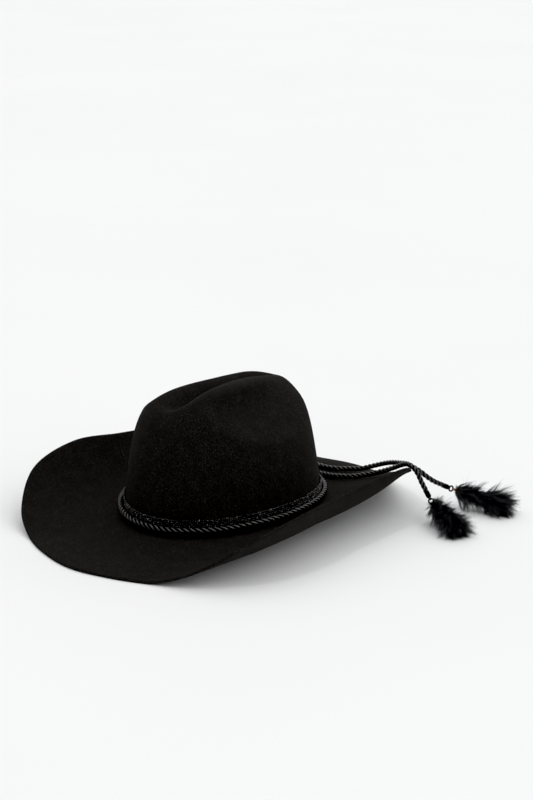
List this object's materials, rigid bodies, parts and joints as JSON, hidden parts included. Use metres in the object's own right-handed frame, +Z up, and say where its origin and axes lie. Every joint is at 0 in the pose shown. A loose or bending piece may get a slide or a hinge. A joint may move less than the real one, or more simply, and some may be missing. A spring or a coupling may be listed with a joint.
{
  "type": "western hat",
  "caption": "Felt hat with a rolled brim and creased crown, bead band, twisted rope band and two rope tails ending in fur tassels.",
  "frame": {"origin": "on the surface that the hat stands on, under the middle of the crown, which is the bottom centre of the hat without its free tails", "axes": "-Y towards the front of the hat, +Y towards the knot at the back, +X towards the side that the tassels lie on, +Z up"},
  "size_m": [0.3818, 0.4092, 0.1473],
  "materials": {
    "felt": "matt black felt, finely furry, with a raw cut brim edge",
    "beads": "glossy black faceted seed beads",
    "rope": "satin black twisted cord",
    "ring": "dark metal jump ring with a soft shine",
    "fur": "soft black fur with fine loose hairs"
  },
  "bodies": {
    "root": {"felt_body": "felt", "bead_band": "beads", "band_rope": "rope", "rope_knot": "rope", "tail_right": "rope", "ferrule_right": "rope", "ring_right": "ring", "tassel_right": "fur", "tail_left": "rope", "ferrule_left": "rope", "ring_left": "ring", "tassel_left": "fur"}
  },
  "joints": []
}
